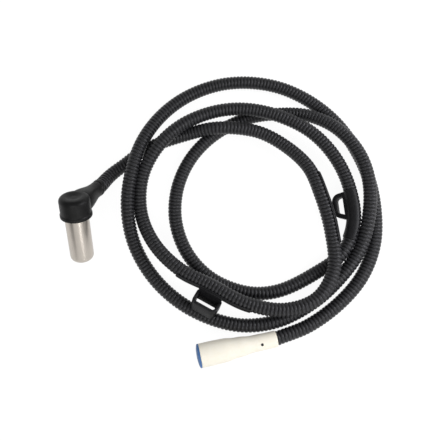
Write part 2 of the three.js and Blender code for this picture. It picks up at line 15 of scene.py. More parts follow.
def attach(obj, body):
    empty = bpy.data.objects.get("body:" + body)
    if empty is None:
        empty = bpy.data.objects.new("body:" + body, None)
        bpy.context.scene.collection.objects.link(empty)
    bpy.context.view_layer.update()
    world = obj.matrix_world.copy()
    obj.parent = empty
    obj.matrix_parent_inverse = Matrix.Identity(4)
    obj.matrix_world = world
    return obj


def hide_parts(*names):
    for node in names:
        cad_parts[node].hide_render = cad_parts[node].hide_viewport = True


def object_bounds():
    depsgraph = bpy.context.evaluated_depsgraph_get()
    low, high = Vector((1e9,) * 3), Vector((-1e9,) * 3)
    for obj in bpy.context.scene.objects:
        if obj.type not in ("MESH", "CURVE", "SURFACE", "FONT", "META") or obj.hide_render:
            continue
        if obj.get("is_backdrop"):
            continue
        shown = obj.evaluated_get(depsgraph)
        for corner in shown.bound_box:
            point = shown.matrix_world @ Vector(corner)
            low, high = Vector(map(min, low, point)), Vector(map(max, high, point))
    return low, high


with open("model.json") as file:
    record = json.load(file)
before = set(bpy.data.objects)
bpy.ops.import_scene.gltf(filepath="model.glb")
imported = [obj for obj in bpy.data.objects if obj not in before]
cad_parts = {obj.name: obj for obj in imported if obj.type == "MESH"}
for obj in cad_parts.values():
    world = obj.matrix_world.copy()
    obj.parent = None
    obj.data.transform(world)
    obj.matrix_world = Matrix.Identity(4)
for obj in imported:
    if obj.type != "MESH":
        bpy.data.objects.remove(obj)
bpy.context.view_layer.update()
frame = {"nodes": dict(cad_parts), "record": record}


def corners():
    """The whole object's box as two plain lists."""
    low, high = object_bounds()
    return [list(map(float, low)), list(map(float, high))]


MM = 0.001  # metres in a millimetre

# --- Camera: the photograph's view, 15 degrees from straight down ---

FILM_WIDTH = 36
PHOTO_WIDTH = 441  # pixels
FOCAL_LENGTH = 480  # pixels
CAMERA_PLACE = (0.0935, -0.086556, 0.336862)
CAMERA_TILT = 15

camera_data = bpy.data.cameras.new("view")
camera_data.sensor_width = FILM_WIDTH
camera_data.lens = FOCAL_LENGTH / PHOTO_WIDTH * FILM_WIDTH
camera_data.clip_start = 0.01
camera = bpy.data.objects.new("view", camera_data)
camera.location = CAMERA_PLACE
camera.rotation_euler = (math.radians(CAMERA_TILT), 0, 0)
bpy.context.scene.collection.objects.link(camera)
bpy.context.scene.camera = camera

# --- Sizes of head, conduit and connector, in millimetres along each part's own axes ---

BARREL_RADIUS = 8.0
BARREL_WALL = 0.5
BARREL_TOP = 41.0
BARREL_EDGE = 4.5
BORE_PLAY = 0.3
CAP_BOTTOM = 34.9
CAP_TOP = 49.6
CAP_RADIUS = 10.1
RIM_RADIUS = 10.6
RIM_HEIGHT = 2.2
NECK_HEIGHT = 42.0
NECK_START = 7.1
NECK_END = 24.0
NECK_LENGTH = 30.0
COLLAR_LEAN = 0.2
LEAN_START = 19.0
LEAN_END = 25.0
PASSAGE_START = 20.0
PASSAGE_RADIUS = 3.2
CONDUIT_RADIUS = 4.82
RIB_PITCH = 2.55
SLEEVE_START = 0.9
SLEEVE_END = 52.6
SLEEVE_SLIM = 5.45
SLEEVE_WIDE = 7.9
SLEEVE_WALL = 0.6
SWELL_START = 12.0
SWELL_END = 43.0
WAVE_HEIGHT = 0.17
WAVE_MIDDLE = 25.0
WAVE_REACH = 15.0
PLUG_START = 42.4
PLUG_RADIUS = 5.1
CONNECTOR_LENGTH = 54.0

# Where the head's and the connector's axes stand and how they lean
HEAD = (
    Matrix.Translation(Vector((-3.3739, -24.8404, 3.6667)))
    @ Matrix.Rotation(math.radians(-2.2), 4, "Z")
    @ Matrix.Rotation(math.radians(-43.9), 4, "X")
    @ Matrix.Rotation(math.radians(72.4), 4, "Z")
)
CONNECTOR = (
    Matrix.Translation(Vector((131.6, -79.7, 6.35)))
    @ Matrix.Rotation(math.radians(-167.84), 4, "Z")
    @ Matrix.Rotation(math.radians(87), 4, "Y")
)

# The route of the conduit's centre from the neck to the connector, in metres
CORD_ROUTE = [
    (0.0077, 0.0249, 0.01377), (0.0089, 0.0278, 0.01135), (0.0112, 0.0328, 0.0083),
    (0.0151, 0.0381, 0.0061), (0.0218, 0.0443, 0.0049), (0.0391, 0.0579, 0.0049),
    (0.066, 0.067, 0.008), (0.091, 0.07, 0.0146), (0.12, 0.0685, 0.0118),
    (0.139, 0.059, 0.0106), (0.156, 0.04, 0.0146), (0.1635, 0.018, 0.0176),
    (0.1697, -0.008, 0.0158), (0.1702, -0.0343, 0.0152), (0.1583, -0.0537, 0.0146),
    (0.1367, -0.0614, 0.0142), (0.111, -0.0573, 0.0148), (0.087, -0.045, 0.0144),
    (0.0655, -0.034, 0.014), (0.0471, -0.0153, 0.011), (0.0368, 0.008, 0.0084),
    (0.0374, 0.0335, 0.0114), (0.048, 0.0545, 0.0156), (0.0655, 0.0715, 0.0166),
    (0.09, 0.083, 0.0152), (0.1135, 0.085, 0.0148), (0.1385, 0.079, 0.0144),
    (0.16, 0.067, 0.0138), (0.176, 0.049, 0.0122), (0.1855, 0.026, 0.0112),
    (0.1873, -0.0015, 0.0106), (0.1786, -0.0216, 0.007), (0.1592, -0.0357, 0.0048),
    (0.133, -0.0479, 0.0048), (0.112, -0.049, 0.0048), (0.0875, -0.0395, 0.0048),
    (0.0705, -0.022, 0.0048), (0.0615, 0.0015, 0.0048), (0.062, 0.026, 0.0048),
    (0.071, 0.049, 0.0048), (0.087, 0.0675, 0.0048), (0.1095, 0.081, 0.0048),
    (0.133, 0.086, 0.0048), (0.159, 0.0835, 0.0078), (0.179, 0.071, 0.0124),
    (0.1936, 0.0502, 0.0146), (0.1992, 0.0275, 0.0144), (0.1967, 0.0005, 0.0134),
    (0.1896, -0.0213, 0.0078), (0.1731, -0.0421, 0.0049), (0.1547, -0.0571, 0.0048),
    (0.1315, -0.0683, 0.0048), (0.1075, -0.071, 0.0048), (0.0835, -0.065, 0.0048),
    (0.0615, -0.0525, 0.0048), (0.0438, -0.0345, 0.0048), (0.0319, -0.0125, 0.0068),
    (0.0279, 0.0115, 0.0128), (0.0302, 0.0365, 0.015), (0.037, 0.0605, 0.014),
    (0.05, 0.083, 0.0098), (0.068, 0.1, 0.0064), (0.0905, 0.1105, 0.0048),
    (0.115, 0.113, 0.0048), (0.1395, 0.1085, 0.0048), (0.1615, 0.097, 0.0048),
    (0.18, 0.08, 0.0048), (0.1935, 0.0585, 0.0048), (0.202, 0.035, 0.0048),
    (0.2047, 0.01, 0.0048), (0.2021, -0.0147, 0.0048), (0.1922, -0.037, 0.0048),
    (0.1761, -0.0551, 0.0048), (0.1533, -0.0711, 0.0049), (0.1305, -0.0799, 0.00642),
]

# Each clip, in millimetres and degrees: where its eye is along the cord, how far the trough
# reaches before and after that, the side it stands on, its tilt, whether it is fitted upside
# down and how far the trough wraps round. Then the eye: where it starts, the strap's room in
# it, its top edge, the height and wall of its bar, its length, taper, skew and corners.
CLIPS = [
    dict(name="conduit_clip_1", along=353.5, before=27.7, after=26.3, side=1, tilt=28,
         turned=False, arc=(-14, 108), eye_from=6.6, eye_gap=7.2, eye_top=-3.6,
         eye_height=9.2, eye_wall=2.2, eye_length=12.8, eye_taper=0.3, eye_skew=0,
         eye_corner=2.6),
    dict(name="conduit_clip_2", along=672.3, before=11, after=25, side=-1, tilt=-36,
         turned=True, arc=(-14, 148), eye_from=5.8, eye_gap=5.0, eye_top=4.2,
         eye_height=5.6, eye_wall=3.3, eye_length=12.6, eye_taper=2.2, eye_skew=1.6,
         eye_corner=4),
    dict(name="conduit_clip_3", along=216, before=28, after=23, side=1, tilt=-76,
         turned=True, arc=(-14, 128), eye_from=5.6, eye_gap=6.4, eye_top=5.6,
         eye_height=7.0, eye_wall=2.0, eye_length=14.0, eye_taper=1.6, eye_skew=0,
         eye_corner=3.4),
]


# --- Making meshes from rings of points ---


def skin(name, rings, loop=False):
    """A closed mesh over rings of equally many points, given in metres."""
    rings = np.asarray(rings, float)
    count, sides, _ = rings.shape
    corner = np.arange(count * sides).reshape(count, sides)
    following = np.roll(corner, -1, axis=1)
    if loop:
        upper, upper_following = np.roll(corner, -1, axis=0), np.roll(following, -1, axis=0)
        quads = np.stack([corner, following, upper_following, upper], -1)
    else:
        quads = np.stack([corner[:-1], following[:-1], following[1:], corner[1:]], -1)
    faces = quads.reshape(-1, 4).tolist()
    if not loop:
        faces.append(corner[0][::-1].tolist())
        faces.append(corner[-1].tolist())
    mesh = bpy.data.meshes.new(name)
    mesh.from_pydata(rings.reshape(-1, 3).tolist(), [], faces)
    piece = bpy.data.objects.new(name, mesh)
    bpy.context.scene.collection.objects.link(piece)
    settle(piece)
    return piece


def settle(piece, crease=35):
    """Merges doubled points, turns the faces outwards and shades all but sharp edges."""
    work = bmesh.new()
    work.from_mesh(piece.data)
    bmesh.ops.remove_doubles(work, verts=work.verts, dist=1e-7)
    bmesh.ops.dissolve_degenerate(work, edges=work.edges, dist=1e-8)
    bmesh.ops.recalc_face_normals(work, faces=work.faces)
    work.to_mesh(piece.data)
    work.free()
    piece.data.shade_smooth()
    piece.data.set_sharp_from_angle(angle=math.radians(crease))


def eased(profile, closed=False, steps=5):
    """A polyline with its corners rounded: items are (x, y) or (x, y, corner radius)."""
    points = [np.array(item[:2], float) for item in profile]
    radii = [item[2] if len(item) > 2 else 0 for item in profile]
    result = []
    for i, (here, radius) in enumerate(zip(points, radii)):
        if radius == 0 or (not closed and i in (0, len(points) - 1)):
            result.append(here)
            continue
        back = points[i - 1] - here
        ahead = points[(i + 1) % len(points)] - here
        reach_back, reach_ahead = np.linalg.norm(back), np.linalg.norm(ahead)
        back, ahead = back / reach_back, ahead / reach_ahead
        half = math.acos(np.clip(back @ ahead, -1, 1)) / 2
        cut = min(radius / math.tan(half), 0.49 * reach_back, 0.49 * reach_ahead)
        radius = cut * math.tan(half)
        middle = (back + ahead) / np.linalg.norm(back + ahead)
        centre = here + middle * radius / math.sin(half)
        start, end = here + back * cut - centre, here + ahead * cut - centre
        sweep = math.pi - 2 * half
        for k in range(steps + 1):
            t = k / steps
            arm = (math.sin((1 - t) * sweep) * start + math.sin(t * sweep) * end) / math.sin(sweep)
            result.append(centre + arm)
    return np.array(result)


def lathe_rings(profile, segments):
    """Rings of a solid turned about Z from points (radius, height)."""
    angles = 2 * math.pi * np.arange(segments) / segments
    circle = np.stack([np.cos(angles), np.sin(angles), np.zeros(segments)], -1)
    rings = [circle * radius + (0, 0, height) for radius, height in profile]
    return np.array(rings)


def placed(rings, matrix):
    """Rings in drawing millimetres, moved by a matrix and turned into metres."""
    turn = np.array(matrix.to_3x3())
    shift = np.array(matrix.translation)
    return (np.asarray(rings) @ turn.T + shift) * MM


def turned_piece(name, profile, matrix, segments=96):
    """A solid turned about the drawing's Z from a profile whose corners are eased."""
    return skin(name, placed(lathe_rings(eased(profile), segments), matrix))


def keep_modified(piece):
    """Makes what the modifiers show the piece's own mesh."""
    bpy.context.view_layer.update()
    shown = piece.evaluated_get(bpy.context.evaluated_depsgraph_get())
    made = bpy.data.meshes.new_from_object(shown)
    piece.modifiers.clear()
    piece.data = made


def joined(piece, others, operation="UNION"):
    """Joins or cuts closed meshes into the first one."""
    for other in others:
        change = piece.modifiers.new(operation, "BOOLEAN")
        change.operation = operation
        change.solver = "MANIFOLD"
        change.object = other
        keep_modified(piece)
        bpy.data.objects.remove(other)
    return piece


def softened(piece, voxel, rounds):
    """Remeshes a solid evenly and relaxes it, which leaves moulded fillets in its corners."""
    remesh = piece.modifiers.new("even", "REMESH")
    remesh.mode = "VOXEL"
    remesh.voxel_size = voxel * MM
    relax = piece.modifiers.new("relax", "SMOOTH")
    relax.factor = 0.5
    relax.iterations = rounds
    keep_modified(piece)
    settle(piece, crease=60)
    return piece


def smooth_step(value, start, end):
    """0 up to the start, 1 from the end on, and an even S between them."""
    t = min(max((value - start) / (end - start), 0), 1)
    return t * t * (3 - 2 * t)


# --- The cord's curve, the same centripetal spline as in the model ---


def spline(points, per_span):
    """Points along a centripetal spline, per_span of them between each two given ones."""
    points = np.array(points, float)
    first = 2 * points[0] - points[1]
    last = 2 * points[-1] - points[-2]
    padded = np.vstack([first, points, last])
    t = np.linspace(0, 1, per_span, endpoint=False)[:, None]
    result = []
    for i in range(1, len(points)):
        p0, p1, p2, p3 = padded[i - 1:i + 3]
        d0, d1, d2 = (np.linalg.norm(b - a) ** 0.5 for a, b in ((p0, p1), (p1, p2), (p2, p3)))
        out = ((p1 - p0) / d0 - (p2 - p0) / (d0 + d1) + (p2 - p1) / d1) * d1
        into = ((p2 - p1) / d1 - (p3 - p1) / (d1 + d2) + (p3 - p2) / d2) * d1
        result.append(
            p1 + out * t + (3 * (p2 - p1) - 2 * out - into) * t ** 2
            + (2 * (p1 - p2) + out + into) * t ** 3
        )
    result.append(points[-1:])
    return np.vstack(result)


# Close points along the cord, none lower than the conduit can lie, and the way to each
dense = spline(CORD_ROUTE, 60)
dense[:, 2] = np.maximum(dense[:, 2], CONDUIT_RADIUS * MM)
travel = np.concatenate([[0], np.cumsum(np.linalg.norm(np.diff(dense, axis=0), axis=1))])
CORD_LENGTH = float(travel[-1])


def along_cord(distances):
    """Centres and directions at distances along the cord, in metres."""
    centres = np.stack([np.interp(distances, travel, dense[:, k]) for k in range(3)], -1)
    step = 0.0004
    ahead = np.stack([np.interp(distances + step, travel, dense[:, k]) for k in range(3)], -1)
    behind = np.stack([np.interp(distances - step, travel, dense[:, k]) for k in range(3)], -1)
    directions = ahead - behind
    return centres, directions / np.linalg.norm(directions, axis=1, keepdims=True)


def carried_frames(directions):
    """Two cross directions for each point, carried along without twist."""
    side = np.cross(directions[0], (0, 0, 1))
    side /= np.linalg.norm(side)
    sides = []
    for direction in directions:
        side = side - direction * (side @ direction)
        side = side / np.linalg.norm(side)
        sides.append(side)
    sides = np.array(sides)
    return sides, np.cross(directions, sides)


# --- Conduit: real ribs along the whole cord ---

CONDUIT_SIDES = 20
RIB_DEPTH = 0.5
# Part of the pitch, and how far the wall stands out of the valley there
RIB_SHAPE = [(0.0, 0.0), (0.1, 0.06), (0.19, 0.82), (0.5, 1.0), (0.81, 0.82), (0.9, 0.06)]
# The first ribs spread where they are pressed onto the neck
SPREAD = 0.06
SPREAD_REACH = 0.014


def ribbed_conduit():
    """The conduit with all its ribs, and the centres of its rings."""
    rib_count = int(CORD_LENGTH / MM / RIB_PITCH)
    pitch = CORD_LENGTH / rib_count
    parts, profile = np.array(RIB_SHAPE).T
    stations = ((np.arange(rib_count)[:, None] + parts) * pitch).ravel()
    stations = np.append(stations, CORD_LENGTH)
    heights = np.append(np.tile(profile, rib_count), 0.0)
    spread = 1 + SPREAD * np.exp(-(stations / SPREAD_REACH) ** 2)
    radii = (CONDUIT_RADIUS - RIB_DEPTH * (1 - heights)) * spread * MM
    centres, directions = along_cord(stations)
    sides, uprights = carried_frames(directions)
    turns = 2 * math.pi * np.arange(CONDUIT_SIDES) / CONDUIT_SIDES
    cos, sin = np.cos(turns)[:, None], np.sin(turns)[:, None]
    spokes = sides[:, None] * cos + uprights[:, None] * sin
    piece = skin("conduit_corrugated", centres[:, None] + spokes * radii[:, None, None])
    piece.data.set_sharp_from_angle(angle=math.radians(180))
    crest = piece.data.attributes.new("crest", "FLOAT", "POINT")
    crest.data.foreach_set("value", np.repeat(heights, CONDUIT_SIDES).astype(np.float32))
    return piece, centres


conduit, centres = ribbed_conduit()


# --- Strap clips ---

# Radius of the middle of the trough's wall, and how far in its rounded ends reach
TROUGH_MIDDLE = 5.15
TROUGH_WALL = 0.68
TROUGH_ROUNDING = 0.45
# Where the plate starts, inside the trough's wall, and the eye's extra length at its foot
PLATE_INNER = 4.9
EYE_FOOT = 0.8


def clip_axes(clip, directions):
    """Outwards through the eye and across both, at points along the cord."""
    level = np.cross((0.0, 0.0, 1.0), directions)
    level /= np.linalg.norm(level, axis=1, keepdims=True)
    upright = np.cross(directions, level)
    tilt = math.radians(clip["tilt"])
    level = level * clip["side"]
    out = level * math.cos(tilt) + upright * math.sin(tilt)
    across = -level * math.sin(tilt) + upright * math.cos(tilt)
    return out, across


def clip_place(clip):
    """The cord's centre at the eye, and the directions along, out and across there."""
    centres, directions = along_cord(np.array([clip["along"] * MM]))
    out, across = (axis[0] for axis in clip_axes(clip, directions))
    return centres[0], directions[0] * clip["side"], out, across


def clip_trough(clip):
    """Open shell that grips part of the conduit, with rounded edges and ends."""
    start = clip["along"] - clip["before"]
    end = clip["along"] + clip["after"]
    ease = np.array([0, 0.06, 0.2, 0.45, 0.8])
    rounding = 0.15 + 0.85 * np.sqrt(1 - (1 - np.minimum(ease / TROUGH_ROUNDING, 1)) ** 2)
    level = np.linspace(start + 1.2, end - 1.2, 30)
    distances = np.concatenate([start + ease, level, (end - ease)[::-1]])
    thickness = np.concatenate([rounding, np.ones(len(level)), rounding[::-1]])
    centres, directions = along_cord(distances * MM)
    out, across = clip_axes(clip, directions)
    sense = 1 if clip["turned"] else -1
    low, high = (math.radians(angle) for angle in clip["arc"])
    middle, half = TROUGH_MIDDLE, TROUGH_WALL / 2
    angles = np.linspace(low, high, 18)
    tips = np.linspace(0, math.pi, 6)[1:-1]
    # How far each point stands off the middle of the wall, and its angle
    section = [(half, a) for a in angles]
    section += [(half * math.cos(t), high + half * math.sin(t) / middle) for t in tips]
    section += [(-half, a) for a in angles[::-1]]
    section += [(-half * math.cos(t), low - half * math.sin(t) / middle) for t in tips]
    rings = []
    for k in range(len(distances)):
        ring = []
        for offset, angle in section:
            arm = out[k] * math.cos(angle) + across[k] * math.sin(angle) * sense
            ring.append(centres[k] + arm * (middle + offset * thickness[k]) * MM)
        rings.append(ring)
    return skin(clip["name"] + "_trough", rings)


def rounded_section(width, height, corner, steps=3):
    """A rounded rectangle about the origin."""
    w, h = width / 2, height / 2
    outline = [(-w, -h, corner), (w, -h, corner), (w, h, corner), (-w, h, corner)]
    return eased(outline, closed=True, steps=steps)


def clip_eye(clip):
    """Loop for a strap: a rounded bar swept round a rounded rectangle."""
    centre, along, out, across = clip_place(clip)
    wall, corner = clip["eye_wall"], clip["eye_corner"]
    low = clip["eye_from"] - wall / 2
    high = clip["eye_from"] + clip["eye_gap"] + wall / 2
    root = (clip["eye_length"] + wall) / 2 + EYE_FOOT
    left, right = (clip["eye_skew"] + sense * (root - clip["eye_taper"]) for sense in (-1, 1))
    path = eased([(-root, low, EYE_FOOT), (root, low, EYE_FOOT), (right, high, corner),
                  (left, high, corner)], closed=True, steps=10)
    section = rounded_section(wall, clip["eye_height"], 0.3 * wall)
    ahead = np.roll(path, -1, axis=0) - np.roll(path, 1, axis=0)
    ahead /= np.linalg.norm(ahead, axis=1, keepdims=True)
    outward = np.stack([ahead[:, 1], -ahead[:, 0]], -1)
    lift = clip["eye_top"] - clip["eye_height"] / 2
    rings = []
    for point, normal in zip(path, outward):
        ring = []
        for a, b in section:
            x, y = point + normal * a
            ring.append(centre + (along * x + out * y + across * (lift + b)) * MM)
        rings.append(ring)
    return skin(clip["name"] + "_eye", rings, loop=True)


def clip_plate(clip):
    """Flat plate between the trough and the eye."""
    centre, along, out, across = clip_place(clip)
    top = max(clip["eye_top"], 1) - 0.3
    bottom = clip["eye_top"] - clip["eye_height"] + 0.4
    lift = (top + bottom) / 2
    inner, outer = PLATE_INNER, clip["eye_from"] - 0.05
    section = rounded_section(clip["eye_length"] + 2 * clip["eye_wall"], top - bottom, 0.5)
    rings = []
    for y, shrink in ((inner, 0.94), (inner + 0.2, 1), (outer - 0.2, 1), (outer, 0.98)):
        rings.append([
            centre + (along * a * shrink + out * y + across * (lift + b)) * MM
            for a, b in section
        ])
    return skin(clip["name"] + "_plate", rings)


def conduit_clip(clip):
    """One moulding: trough, plate and eye."""
    piece = joined(clip_trough(clip), [clip_plate(clip), clip_eye(clip)])
    piece.name = clip["name"] + "_moulded"
    settle(piece, crease=40)
    return piece


clip_pieces = [conduit_clip(clip) for clip in CLIPS]


# --- Sensor head ---


def barrel():
    """Drawn stainless cup, open inside the cap."""
    inside = BARREL_RADIUS - BARREL_WALL
    return turned_piece("barrel_drawn", [
        (0, 0), (BARREL_RADIUS, 0, BARREL_EDGE), (BARREL_RADIUS, BARREL_TOP),
        (inside, BARREL_TOP), (inside, BARREL_WALL, BARREL_EDGE - BARREL_WALL), (0, BARREL_WALL),
    ], HEAD, segments=128)


def neck_rings():
    """Sections of the neck from the barrel axis out to its leaning collar."""
    # Distance out, half width, height over and under the axis, and squareness
    sizes = []
    for x in (0, 4, 7, 9, 11, 13, 15, 17, 19, 21, 23, 25, 26.2):
        t = smooth_step(x, NECK_START, NECK_END)
        sizes.append((x, 7.8 - 2.4 * t, 7.6 - 2.2 * t, 6.8 - 1.4 * t, 2.8 - 0.8 * t))
    for x, radius in ((26.5, 5.1), (27.1, 5.1), (27.4, 5.4), (27.7, 5.55), (29.5, 5.55),
                      (29.85, 5.4), (NECK_LENGTH, 5.3)):
        sizes.append((x, radius, radius, radius, 2))
    angles = 2 * math.pi * np.arange(72) / 72
    cos, sin = np.cos(angles), np.sin(angles)
    rings = []
    for x, half_width, upper, lower, power in sizes:
        across = half_width * np.sign(cos) * np.abs(cos) ** (2 / power)
        over = np.where(sin > 0, upper, lower) * np.sign(sin) * np.abs(sin) ** (2 / power)
        lean = COLLAR_LEAN * min(max((x - LEAN_START) / (LEAN_END - LEAN_START), 0), 1)
        rings.append(np.stack([x + lean * (across + over), across, NECK_HEIGHT + over], -1))
    return np.array(rings)


def head():
    """Moulded cap and neck in one soft-edged piece, with the bore and the dished top."""
    cap = turned_piece("head_moulded", [
        (0, CAP_BOTTOM), (RIM_RADIUS, CAP_BOTTOM, 0.5),
        (RIM_RADIUS, CAP_BOTTOM + RIM_HEIGHT, 0.5), (CAP_RADIUS, CAP_BOTTOM + 3, 0.5),
        (CAP_RADIUS, CAP_TOP, 3), (0, CAP_TOP),
    ], HEAD)
    neck = skin("neck", placed(neck_rings(), HEAD))
    joined(cap, [neck])
    dish = turned_piece("dish", [
        (0, CAP_TOP - 0.9), (2.4, CAP_TOP - 0.86, 1), (6, CAP_TOP + 0.05, 1), (6.4, CAP_TOP + 2),
        (0, CAP_TOP + 2),
    ], HEAD)
    bore_radius, bore_top = BARREL_RADIUS + BORE_PLAY, BARREL_TOP + BORE_PLAY
    bore = turned_piece("bore", [
        (0, CAP_BOTTOM - 2), (bore_radius, CAP_BOTTOM - 2), (bore_radius, bore_top),
        (0, bore_top),
    ], HEAD)
    start = Matrix.Translation((PASSAGE_START, 0, NECK_HEIGHT))
    passage = turned_piece("passage", [
        (0, 0), (PASSAGE_RADIUS, 0), (PASSAGE_RADIUS, 14), (0, 14),
    ], HEAD @ start @ Matrix.Rotation(math.pi / 2, 4, "Y"))
    joined(cap, [dish, bore, passage], "DIFFERENCE")
    return softened(cap, voxel=0.22, rounds=7)


barrel_piece = barrel()
head_piece = head()


# --- Connector ---


def sleeve():
    """Soft, slightly wavy pale sleeve: slim on the conduit, swelling over the housing."""
    edge = 0.15
    outer, inner = [], []
    for z in np.linspace(SLEEVE_START + 0.25, SLEEVE_END - 0.25, 70):
        swell = smooth_step(z, SWELL_START, SWELL_END)
        wave = math.sin(z * 0.55 + 0.8) * math.exp(-((z - WAVE_MIDDLE) / WAVE_REACH) ** 2)
        radius = SLEEVE_SLIM + (SLEEVE_WIDE - SLEEVE_SLIM) * swell + WAVE_HEIGHT * wave
        outer.append((radius, z))
        inner.append((radius - SLEEVE_WALL, z))
    profile = [(outer[0][0] - edge, SLEEVE_START), *outer, (outer[-1][0] - edge, SLEEVE_END),
               (inner[-1][0] + edge, SLEEVE_END), *inner[::-1],
               (inner[0][0] + edge, SLEEVE_START)]
    return skin("sleeve_soft", placed(lathe_rings(profile, 96), CONNECTOR), loop=True)


def end_cap():
    """Blue plug with a domed flange and a small gate mark in its middle."""
    flange = SLEEVE_END + 0.1
    return turned_piece("end_cap_moulded", [
        (0, PLUG_START), (PLUG_RADIUS, PLUG_START, 0.4), (PLUG_RADIUS, flange),
        (SLEEVE_WIDE, flange, 0.2), (SLEEVE_WIDE, CONNECTOR_LENGTH - 0.2, 0.4),
        (6.4, CONNECTOR_LENGTH + 0.4, 1.5),
        (4.2, CONNECTOR_LENGTH + 0.8, 2), (1.3, CONNECTOR_LENGTH + 1, 0.5),
        (1.1, CONNECTOR_LENGTH + 0.7, 0.1), (0, CONNECTOR_LENGTH + 0.7),
    ], CONNECTOR)


def locking_stud():
    """Small dark stud that shows through the sleeve near its slim end."""
    radius, height = 0.95, 5.75
    place = Matrix.Translation(Vector((120.9, -82.2, 6.95))) @ Matrix.Rotation(0.3, 4, "X")
    return turned_piece("locking_stud", [
        (0, 0), (radius, 0), (radius, height - 0.1, 0.2), (0.3, height, 0.2), (0, height),
    ], place, segments=32)


sleeve_piece = sleeve()
end_cap_piece = end_cap()
stud_piece = locking_stud()


# --- Finishes ---


def node_group(name, inputs, outputs):
    """A shader node group with named sockets, and its two end nodes."""
    group = bpy.data.node_groups.new(name, "ShaderNodeTree")
    for label, kind, value in inputs:
        socket = group.interface.new_socket(label, in_out="INPUT", socket_type=kind)
        socket.default_value = value
    for label, kind in outputs:
        group.interface.new_socket(label, in_out="OUTPUT", socket_type=kind)
    return group, group.nodes.new("NodeGroupInput"), group.nodes.new("NodeGroupOutput")


def noise(tree, scale, detail=2.0, roughness=0.5):
    """Noise in the piece's own coordinates."""
    texture = tree.nodes.new("ShaderNodeTexNoise")
    texture.inputs["Scale"].default_value = scale
    texture.inputs["Detail"].default_value = detail
    texture.inputs["Roughness"].default_value = roughness
    place = tree.nodes.get("place") or tree.nodes.new("ShaderNodeTexCoord")
    place.name = "place"
    tree.links.new(place.outputs["Object"], texture.inputs["Vector"])
    return texture


def reckon(tree, operation, a, b):
    """A Math node fed by sockets or numbers."""
    node = tree.nodes.new("ShaderNodeMath")
    node.operation = operation
    for socket, value in zip(node.inputs, (a, b)):
        if isinstance(value, (int, float)):
            socket.default_value = value
        else:
            tree.links.new(value, socket)
    return node.outputs[0]


def ranged(tree, value, from_range, to_range):
    """A value moved from one range into another and held inside it."""
    node = tree.nodes.new("ShaderNodeMapRange")
    ends = ("From Min", "From Max", "To Min", "To Max")
    for label, end in zip(ends, (*from_range, *to_range)):
        node.inputs[label].default_value = end
    tree.links.new(value, node.inputs["Value"])
    return node.outputs[0]


def blended(tree, factor, a, b):
    """A colour mix fed by sockets or colours."""
    node = tree.nodes.new("ShaderNodeMix")
    node.data_type = "RGBA"
    tree.links.new(factor, node.inputs["Factor"])
    for socket, value in zip((node.inputs[6], node.inputs[7]), (a, b)):
        if isinstance(value, tuple):
            socket.default_value = value
        else:
            tree.links.new(value, socket)
    return node.outputs[2]


def mould_skin():
    """Fine spark-eroded texture of moulded plastic, with slow shifts of tone and gloss."""
    group, given, made = node_group(
        "mould skin",
        [("Colour", "NodeSocketColor", (0.05, 0.05, 0.05, 1)),
         ("Scuffed", "NodeSocketColor", (0.1, 0.1, 0.1, 1)),
         ("Gloss", "NodeSocketFloat", 0.5),
         ("Grain", "NodeSocketFloat", 5000.0)],
        [("Colour", "NodeSocketColor"), ("Roughness", "NodeSocketFloat"),
         ("Height", "NodeSocketFloat")],
    )
    fine = noise(group, 5000.0, 3, 0.6)
    group.links.new(given.outputs["Grain"], fine.inputs["Scale"])
    broad = noise(group, 90.0, 4, 0.6)
    patches = noise(group, 420.0, 3, 0.65)
    mask = ranged(group, patches.outputs[0], (0.42, 0.78), (0, 0.4))
    colour = blended(group, mask, given.outputs["Colour"], given.outputs["Scuffed"])
    group.links.new(colour, made.inputs["Colour"])
    shift = reckon(group, "MULTIPLY", reckon(group, "SUBTRACT", broad.outputs[0], 0.5), 0.22)
    rough = reckon(group, "ADD", given.outputs["Gloss"], shift)
    rough = reckon(group, "ADD", rough, reckon(group, "MULTIPLY", mask, 0.12))
    group.links.new(rough, made.inputs["Roughness"])
    swells = reckon(group, "MULTIPLY", broad.outputs[0], 0.7)
    height = reckon(group, "ADD", fine.outputs[0], swells)
    group.links.new(height, made.inputs["Height"])
    return group


def metal_grain():
    """Fine grain of bare metal, drawn into lines by an uneven stretch, with duller clouds."""
    group, given, made = node_group(
        "metal grain",
        [("Colour", "NodeSocketColor", (0.5, 0.5, 0.5, 1)),
         ("Dull", "NodeSocketColor", (0.4, 0.4, 0.4, 1)),
         ("Gloss", "NodeSocketFloat", 0.4),
         ("Stretch", "NodeSocketVector", (900.0, 900.0, 900.0))],
        [("Colour", "NodeSocketColor"), ("Roughness", "NodeSocketFloat"),
         ("Height", "NodeSocketFloat")],
    )
    cloud = noise(group, 260.0, 3, 0.55)
    colour = blended(group, cloud.outputs[0], given.outputs["Colour"], given.outputs["Dull"])
    group.links.new(colour, made.inputs["Colour"])
    grain = noise(group, 1.0, 4)
    mapping = group.nodes.new("ShaderNodeMapping")
    group.links.new(given.outputs["Stretch"], mapping.inputs["Scale"])
    group.links.new(group.nodes["place"].outputs["Object"], mapping.inputs["Vector"])
    group.links.new(mapping.outputs[0], grain.inputs["Vector"])
    shift = reckon(group, "MULTIPLY", reckon(group, "SUBTRACT", grain.outputs[0], 0.5), 0.25)
    group.links.new(
        reckon(group, "ADD", given.outputs["Gloss"], shift), made.inputs["Roughness"]
    )
    group.links.new(grain.outputs[0], made.inputs["Height"])
    return group


MOULD_SKIN = mould_skin()
METAL_GRAIN = metal_grain()


def new_material(name):
    """A material, its node tree and its shader."""
    material = bpy.data.materials.new(name)
    material.use_nodes = True
    return material, material.node_tree, material.node_tree.nodes["Principled BSDF"]


